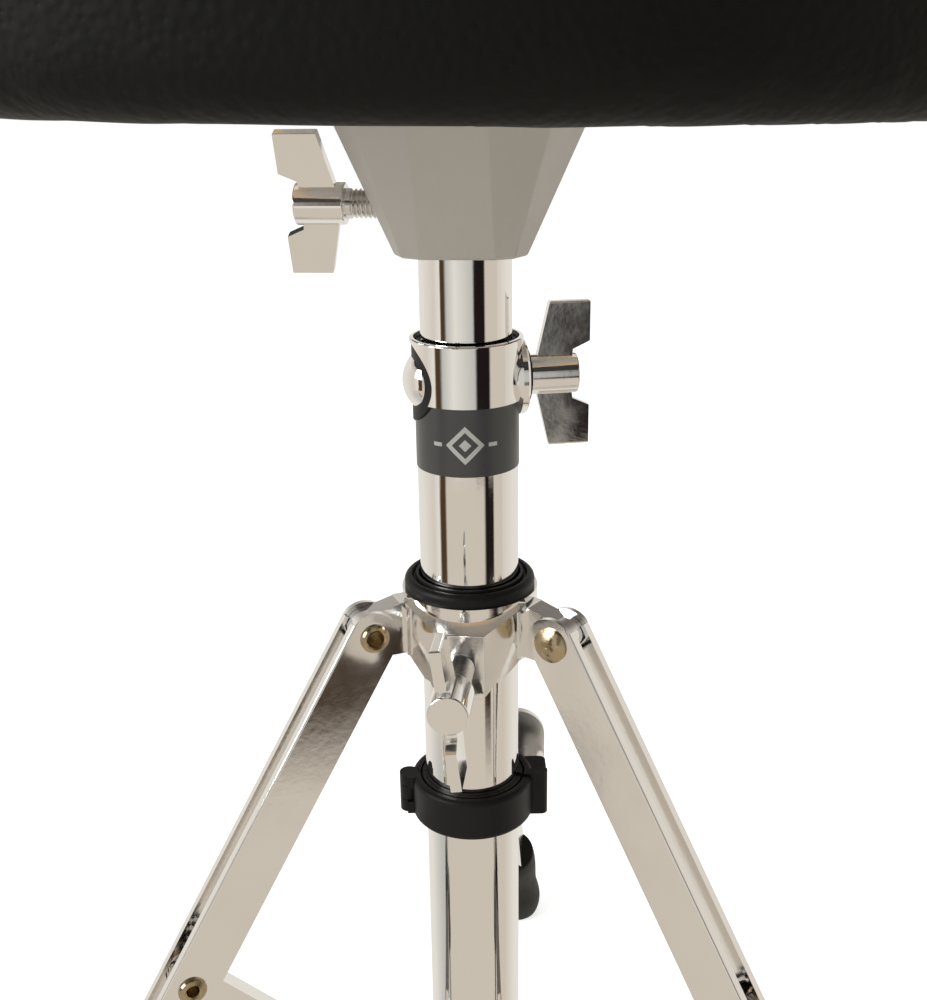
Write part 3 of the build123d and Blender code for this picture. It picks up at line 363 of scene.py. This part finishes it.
def printed_label(name, ground, mark):
    """A satin band with a plain diamond and two dashes on the side that faces the front.
    With u = radius * (angle - middle) along the band and v = height - middle, the diamond is where
    |u| + |v| lies between two limits, and the dashes are where |v| is small and |u| lies beyond it."""
    material, nodes, links, shader = node_tree(name)
    place = nodes.new("ShaderNodeTexCoord").outputs["Object"]
    split = nodes.new("ShaderNodeSeparateXYZ")
    links.new(place, split.inputs[0])

    def calc(operation, first, second=None):
        return number(nodes, links, operation, first, second)

    angle = calc("ARCTAN2", split.outputs["Y"], split.outputs["X"])
    middle = float(np.radians(MARK_HEADING))
    along = calc("ABSOLUTE", calc("MULTIPLY", calc("SUBTRACT", angle, middle), BAND_RADIUS_MM))
    up = calc("ABSOLUTE", calc("SUBTRACT", calc("MULTIPLY", split.outputs["Z"], 1000), MARK_HEIGHT_MM))
    reach = calc("ADD", along, up)
    diamond = calc("MULTIPLY", calc("LESS_THAN", reach, 5.4), calc("GREATER_THAN", reach, 3.7))
    core = calc("LESS_THAN", reach, 1.7)
    dash = calc("MULTIPLY", calc("LESS_THAN", up, 0.55),
                calc("MULTIPLY", calc("GREATER_THAN", along, 6.6), calc("LESS_THAN", along, 9.2)))
    printed = calc("MINIMUM", calc("ADD", calc("ADD", diamond, core), dash), 1.0)
    tint = nodes.new("ShaderNodeMix")
    tint.data_type = "RGBA"
    tint.inputs[6].default_value = (*ground, 1)
    tint.inputs[7].default_value = (*mark, 1)
    links.new(printed, tint.inputs[0])
    links.new(tint.outputs[2], shader.inputs["Base Color"])
    shader.inputs["Roughness"].default_value = 0.3
    shader.inputs["Metallic"].default_value = 0.35
    return material


def plywood(name):
    """Long grain on the faces and stacked layers on the edge: bands of height and stretched noise."""
    material, nodes, links, shader = node_tree(name)
    place = nodes.new("ShaderNodeTexCoord").outputs["Object"]
    stretch = nodes.new("ShaderNodeMapping")
    stretch.inputs["Scale"].default_value = (12, 160, 700)
    grain = nodes.new("ShaderNodeTexNoise")
    grain.inputs["Scale"].default_value = 1.0
    grain.inputs["Detail"].default_value = 6
    tint = nodes.new("ShaderNodeMix")
    tint.data_type = "RGBA"
    tint.inputs[6].default_value = (0.34, 0.22, 0.12, 1)
    tint.inputs[7].default_value = (0.62, 0.46, 0.29, 1)
    links.new(place, stretch.inputs["Vector"])
    links.new(stretch.outputs["Vector"], grain.inputs["Vector"])
    links.new(grain.outputs["Fac"], tint.inputs[0])
    links.new(tint.outputs[2], shader.inputs["Base Color"])
    shader.inputs["Roughness"].default_value = 0.7
    return material


def woven(name, colour):
    """Thin cloth: two crossed sets of threads, h = wave(x) + wave(y), as relief."""
    material, nodes, links, shader = node_tree(name)
    place = nodes.new("ShaderNodeTexCoord").outputs["Object"]
    heights = []
    for direction in ("X", "Y"):
        wave = nodes.new("ShaderNodeTexWave")
        wave.bands_direction = direction
        wave.inputs["Scale"].default_value = 260
        wave.inputs["Distortion"].default_value = 0.6
        links.new(place, wave.inputs["Vector"])
        heights.append(wave.outputs["Fac"])
    bump = nodes.new("ShaderNodeBump")
    bump.inputs["Strength"].default_value = 0.5
    bump.inputs["Distance"].default_value = 0.0005
    links.new(number(nodes, links, "ADD", heights[0], heights[1]), bump.inputs["Height"])
    links.new(bump.outputs["Normal"], shader.inputs["Normal"])
    shader.inputs["Base Color"].default_value = (*colour, 1)
    shader.inputs["Roughness"].default_value = 0.85
    return material


def dress(names, material):
    """Give solid pieces one finish."""
    for name in names:
        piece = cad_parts[name]
        piece.data.materials.clear()
        piece.data.materials.append(material)


# ---- operators ----------------------------------------------------------------------------------
class THRONE_OT_seat(bpy.types.Operator):
    """Build the padded seat and the piping round its top edge"""

    bl_idname = "throne.seat"
    bl_label = "Padded seat"

    def execute(self, context):
        size = context.scene.throne_seat
        colour = context.scene.throne_finish.vinyl
        seed = context.scene.throne_stage.seed
        edge, low, high = size.radius, size.bottom, size.top
        profile = [(0.0, size.board_top), (size.board_radius, size.board_top)]
        profile += [(size.board_radius, low + 0.003)]
        profile += rounded((size.board_radius + 0.001, low), (edge - 0.002, low), (edge - 0.002, low + 0.012))
        profile += rounded((edge - 0.001, low + 0.022), (edge + 0.0015, 0.5 * (low + high)),
                           (edge - 0.002, high - 0.018))
        profile += rounded((edge - 0.003, high - 0.012), (edge - 0.006, high - 0.001), (edge - 0.030, high))
        profile += rounded((edge - 0.060, high + 0.001), (0.04, high + 0.002), (0.0, high + 0.002))
        seat = revolved("seat_pad", profile, 160)
        inflate(seat, size.voxel, size.pressure, size.swell, seed)
        smooth_levels(seat)
        seat.data.materials.append(leather_cloth("seat_cover", colour))

        points = coordinates(seat.data)
        radius = np.linalg.norm(points[:, :2], axis=1)
        near = np.abs(points[:, 2] - size.seam_height) < 0.008
        sectors = PIPING_SECTORS
        sector = ((np.arctan2(points[near, 1], points[near, 0]) / (2 * np.pi)) % 1 * sectors).astype(int)
        reach = np.full(sectors, 0.15)
        np.maximum.at(reach, sector % sectors, radius[near])
        spectrum = np.fft.rfft(reach)
        spectrum[PIPING_HARMONICS:] = 0
        angle = np.linspace(0, 2 * np.pi, PIPING_POINTS, endpoint=False)
        order = np.arange(len(spectrum))[:, None]
        weight = np.where(order == 0, 1, 2) * spectrum[:, None] / sectors
        centre = (weight * np.exp(1j * order * (angle - np.pi / sectors))).real.sum(axis=0)
        around = np.linspace(0, 2 * np.pi, CORD_POINTS, endpoint=False)
        tube = size.piping_radius
        ring = centre[:, None] - 0.0004 + tube * np.cos(around)
        points = np.stack([ring * np.cos(angle)[:, None], ring * np.sin(angle)[:, None],
                           np.broadcast_to(size.seam_height + tube * np.sin(around), ring.shape)], axis=-1)
        piping = grid_surface("seat_piping", points, close_u=True, close_v=True)
        weld(piping)
        piping.data.materials.append(leather_cloth("piping_cover", colour))

        for piece in (seat, piping):
            tip(piece, size.tip, size.tip_heading)
            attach(piece, "seat")
        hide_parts("seat_cushion")
        return {"FINISHED"}


class THRONE_OT_underside(bpy.types.Operator):
    """Finish the seat's board and the cloth under it"""

    bl_idname = "throne.underside"
    bl_label = "Seat underside"

    def execute(self, context):
        dress(["seat_board"], plywood("plywood"))
        dress(["seat_under_cloth"], woven("dust_cloth", (0.02, 0.02, 0.021)))
        return {"FINISHED"}


class THRONE_OT_chrome(bpy.types.Operator):
    """Finish the chromed tubes, castings, straps, braces, bolts and screws"""

    bl_idname = "throne.chrome"
    bl_label = "Chrome"

    def execute(self, context):
        finish = context.scene.throne_finish
        tint, rough = tuple(finish.chrome), finish.chrome_roughness
        dress(POLISHED, surface("chrome_polished", tint, 1.0, rough, spread=0.02, patch=35, grain=500,
                                relief=0.012))
        dress(SHEET, surface("chrome_sheet", tint, 1.0, rough + 0.045, spread=0.035, patch=50, grain=420,
                             relief=0.03))
        dress(CAST, surface("chrome_cast", tint, 1.0, rough + 0.05, spread=0.05, patch=110, grain=650,
                            relief=0.03, mottle=0.03))
        dress(["lock_lever_nut"], surface("zinc_cast", tint, 1.0, 0.34, spread=0.08, patch=90, grain=600,
                                          relief=0.05, mottle=0.05))
        dress(THREADED, surface("zinc_plate", tuple(0.85 * c for c in tint), 1.0, 0.22, spread=0.08,
                                patch=120, grain=800, relief=0.08))
        return {"FINISHED"}


class THRONE_OT_castings(bpy.types.Operator):
    """Finish the seat's bracket and the rivets"""

    bl_idname = "throne.castings"
    bl_label = "Bracket and rivets"

    def execute(self, context):
        finish = context.scene.throne_finish
        dress(["seat_bracket"], surface("cast_alloy", tuple(finish.alloy), 0.55, 0.5, spread=0.08, patch=70,
                                        grain=700, relief=0.22, mottle=0.08))
        dress(RIVETS, surface("yellow_plate", tuple(finish.brass), 1.0, 0.24, spread=0.08, patch=160,
                              grain=700, relief=0.1, mottle=0.1))
        return {"FINISHED"}


class THRONE_OT_mouldings(bpy.types.Operator):
    """Finish the moulded plastic and rubber pieces"""

    bl_idname = "throne.mouldings"
    bl_label = "Plastic and rubber"

    def execute(self, context):
        finish = context.scene.throne_finish
        dress(MOULDED, surface("black_plastic", tuple(finish.black), 0.0, 0.5, spread=0.08, patch=40,
                               grain=900, relief=0.12, shine=0.25))
        dress(RUBBER, surface("rubber", tuple(finish.rubber), 0.0, 0.62, spread=0.1, patch=45, grain=600,
                              relief=0.3, mottle=0.2, shine=0.25))
        return {"FINISHED"}


class THRONE_OT_label(bpy.types.Operator):
    """Finish the printed band round the outer tube"""

    bl_idname = "throne.label"
    bl_label = "Printed band"

    def execute(self, context):
        finish = context.scene.throne_finish
        dress(["label_band"], printed_label("label_print", tuple(finish.label), tuple(finish.mark)))
        return {"FINISHED"}


class THRONE_OT_stage(bpy.types.Operator):
    """Build the pale floor, the studio's walls, its lights and the camera"""

    bl_idname = "throne.stage"
    bl_label = "Stage"

    def execute(self, context):
        stage = context.scene.throne_stage
        side = np.linspace(-stage.floor_size, stage.floor_size, 3)
        across, along = np.meshgrid(side, side)
        floor = grid_surface("floor", np.stack([across, along, np.zeros_like(across)], axis=-1))
        material, _, _, shader = node_tree("floor_paper")
        shader.inputs["Base Color"].default_value = (0.90, 0.90, 0.895, 1)
        shader.inputs["Roughness"].default_value = 0.9
        shader.inputs["Emission Color"].default_value = (1, 1, 1, 1)
        shader.inputs["Emission Strength"].default_value = 0.6
        floor.data.materials.append(material)
        floor.visible_glossy = False
        self.surround(stage.surround)
        lamps = (("key", (-1.3, -0.8, 0.9), 0.9, stage.key_power),
                 ("fill", (1.3, -0.9, 0.9), 1.4, stage.fill_power),
                 ("back", (0.2, 1.5, 1.4), 1.2, stage.fill_power))
        for name, place, width, power in lamps:
            lamp = bpy.data.lights.new(name, "AREA")
            lamp.energy = power
            lamp.size = width
            holder = bpy.data.objects.new(name, lamp)
            holder.location = place
            holder.rotation_euler = (Vector((0, 0, 0.25)) - Vector(place)).to_track_quat("-Z", "Y").to_euler()
            holder.visible_glossy = name == "key"
            bpy.context.scene.collection.objects.link(holder)
        self.camera(stage)
        return {"FINISHED"}

    def surround(self, brightness):
        """White studio for light and for the background, with warm walls and dark gaps between them as the
        polished pieces see them. A wall's colour is a ramp over the compass angle of the direction; five
        such ramps, from level to steep directions, are blended by the direction's z."""
        world = bpy.data.worlds.new("studio")
        bpy.context.scene.world = world
        world.use_nodes = True
        nodes, links = world.node_tree.nodes, world.node_tree.links
        place = nodes.new("ShaderNodeTexCoord").outputs["Generated"]
        split = nodes.new("ShaderNodeSeparateXYZ")
        links.new(place, split.inputs[0])
        turn = number(nodes, links, "ARCTAN2", split.outputs["Y"], split.outputs["X"])
        turn = number(nodes, links, "FRACT", number(nodes, links, "DIVIDE", turn, 2 * float(np.pi)))
        brown, black, beige = (0.075, 0.045, 0.022), (0.014, 0.009, 0.010), (0.64, 0.58, 0.50)
        light, grey, pink = (0.82, 0.79, 0.73), (0.54, 0.54, 0.51), (0.70, 0.64, 0.57)
        above = ((0, pink), (40, light), (150, light), (190, pink), (209.5, light), (212.5, brown),
                 (222, brown), (228, grey), (248, light), (251, black), (253.5, brown), (255, light),
                 (256.5, brown), (259, black), (262, grey), (297, grey), (300, black), (322, black),
                 (326, beige))
        level = ((0, pink), (40, light), (150, light), (190, pink), (209.5, light), (212.5, brown),
                 (222, brown), (228, grey), (250, light), (293, grey), (297.5, black), (322, black),
                 (326, beige))
        falling = ((0, pink), (40, light), (150, light), (190, pink), (206, light), (210, brown),
                   (222, brown), (226, beige), (312, beige), (317, black), (335, black), (338, beige))
        low = ((0, beige), (40, light), (150, light), (190, beige), (250, beige), (308, beige),
               (311, brown), (323, black), (326, beige))
        steep = ((0, beige), (40, light), (150, light), (190, grey), (205.4, grey), (206.2, black),
                 (207.8, black), (208.6, beige), (329.2, beige), (330, black), (331.8, black),
                 (332.6, beige))
        colour = None
        for stops, start, end in ((above, 0, 0), (level, -0.12, -0.15), (falling, -0.29, -0.33),
                                  (low, -0.40, -0.43), (steep, -0.48, -0.53)):
            tint = self.ramp(nodes, links, turn, stops)
            if colour is not None:
                tint = self.blend(nodes, links, split.outputs["Z"], start, end, colour, tint)
            colour = tint
        colour = self.blend(nodes, links, split.outputs["Z"], 0.30, 0.62, colour, (0.16, 0.14, 0.13))
        rays = nodes.new("ShaderNodeLightPath")
        open_air = nodes.new("ShaderNodeMix")
        open_air.data_type = "RGBA"
        open_air.inputs[6].default_value = (0.5, 0.5, 0.5, 1)
        open_air.inputs[7].default_value = (1, 1, 1, 1)
        links.new(rays.outputs["Is Camera Ray"], open_air.inputs[0])
        seen = nodes.new("ShaderNodeMix")
        seen.data_type = "RGBA"
        links.new(open_air.outputs[2], seen.inputs[6])
        links.new(rays.outputs["Is Glossy Ray"], seen.inputs[0])
        links.new(colour, seen.inputs[7])
        background = nodes["Background"]
        background.inputs["Strength"].default_value = brightness
        links.new(seen.outputs[2], background.inputs["Color"])

    def ramp(self, nodes, links, turn, stops):
        """Colours by compass angle, in degrees."""
        ramp = nodes.new("ShaderNodeValToRGB")
        first, last = ramp.color_ramp.elements
        first.position, first.color = 0, (*stops[0][1], 1)
        last.position, last.color = stops[-1][0] / 360, (*stops[-1][1], 1)
        for degrees, colour in stops[1:-1]:
            ramp.color_ramp.elements.new(degrees / 360).color = (*colour, 1)
        links.new(turn, ramp.inputs["Fac"])
        return ramp.outputs["Color"]

    def blend(self, nodes, links, height, low, high, first, second):
        """Goes from the first colour to the second while the direction's z goes from low to high."""
        share = nodes.new("ShaderNodeMapRange")
        share.inputs["From Min"].default_value = low
        share.inputs["From Max"].default_value = high
        links.new(height, share.inputs["Value"])
        mix = nodes.new("ShaderNodeMix")
        mix.data_type = "RGBA"
        links.new(share.outputs["Result"], mix.inputs[0])
        for socket, value in ((mix.inputs[6], first), (mix.inputs[7], second)):
            if isinstance(value, tuple):
                socket.default_value = (*value, 1)
            else:
                links.new(value, socket)
        return mix.outputs[2]

    def camera(self, stage):
        """Camera from its place, heading, tilt and roll.
        Forward w = (cos h cos t, sin h cos t, sin t); right r = (sin h, -cos h, 0) rolled about w."""
        heading, tilt, roll = np.radians(np.array(stage.camera_turn))
        forward = np.array([np.cos(heading) * np.cos(tilt), np.sin(heading) * np.cos(tilt), np.sin(tilt)])
        right = np.array([np.sin(heading), -np.cos(heading), 0])
        down = np.cross(forward, right)
        rolled = np.cos(roll) * right + np.sin(roll) * down
        lower = -np.sin(roll) * right + np.cos(roll) * down
        lens = bpy.data.cameras.new("camera")
        lens.lens = stage.lens
        lens.sensor_width = 36
        lens.sensor_fit = "AUTO"
        lens.clip_start = 0.01
        holder = bpy.data.objects.new("camera", lens)
        turn = Matrix(np.stack([rolled, -lower, -forward], axis=1).tolist()).to_4x4()
        holder.matrix_world = Matrix.Translation(Vector(stage.camera_place)) @ turn
        bpy.context.scene.collection.objects.link(holder)
        bpy.context.scene.camera = holder
        bpy.context.scene.view_settings.view_transform = "Standard"


class THRONE_PT_panel(bpy.types.Panel):
    """Sizes, colours and steps of the drum throne"""

    bl_label = "Drum Throne"
    bl_idname = "THRONE_PT_panel"
    bl_space_type = "VIEW_3D"
    bl_region_type = "UI"
    bl_category = "Throne"

    def draw(self, context):
        """Every setting in boxes, then a button for each step."""
        for settings in (context.scene.throne_seat, context.scene.throne_finish, context.scene.throne_stage):
            box = self.layout.box()
            for name in settings.__annotations__:
                box.prop(settings, name)
        for step in STEPS:
            self.layout.operator(step.bl_idname)


STEPS = (THRONE_OT_seat, THRONE_OT_underside, THRONE_OT_chrome, THRONE_OT_castings, THRONE_OT_mouldings,
         THRONE_OT_label, THRONE_OT_stage)
CLASSES = (ThroneSeatSettings, ThroneFinishSettings, ThroneStageSettings, *STEPS, THRONE_PT_panel)


def register():
    """Add the classes and hang the settings on the scene."""
    for cls in CLASSES:
        bpy.utils.register_class(cls)
    bpy.types.Scene.throne_seat = PointerProperty(type=ThroneSeatSettings)
    bpy.types.Scene.throne_finish = PointerProperty(type=ThroneFinishSettings)
    bpy.types.Scene.throne_stage = PointerProperty(type=ThroneStageSettings)


def unregister():
    """Take the settings and the classes away again."""
    del bpy.types.Scene.throne_stage
    del bpy.types.Scene.throne_finish
    del bpy.types.Scene.throne_seat
    for cls in reversed(CLASSES):
        bpy.utils.unregister_class(cls)


def main():
    """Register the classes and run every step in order."""
    register()
    for step in STEPS:
        group, name = step.bl_idname.split(".")
        result = getattr(getattr(bpy.ops, group), name)()
        if result != {"FINISHED"}:
            raise RuntimeError(f"{step.bl_idname} did not finish")


if __name__ == "__main__":
    main()
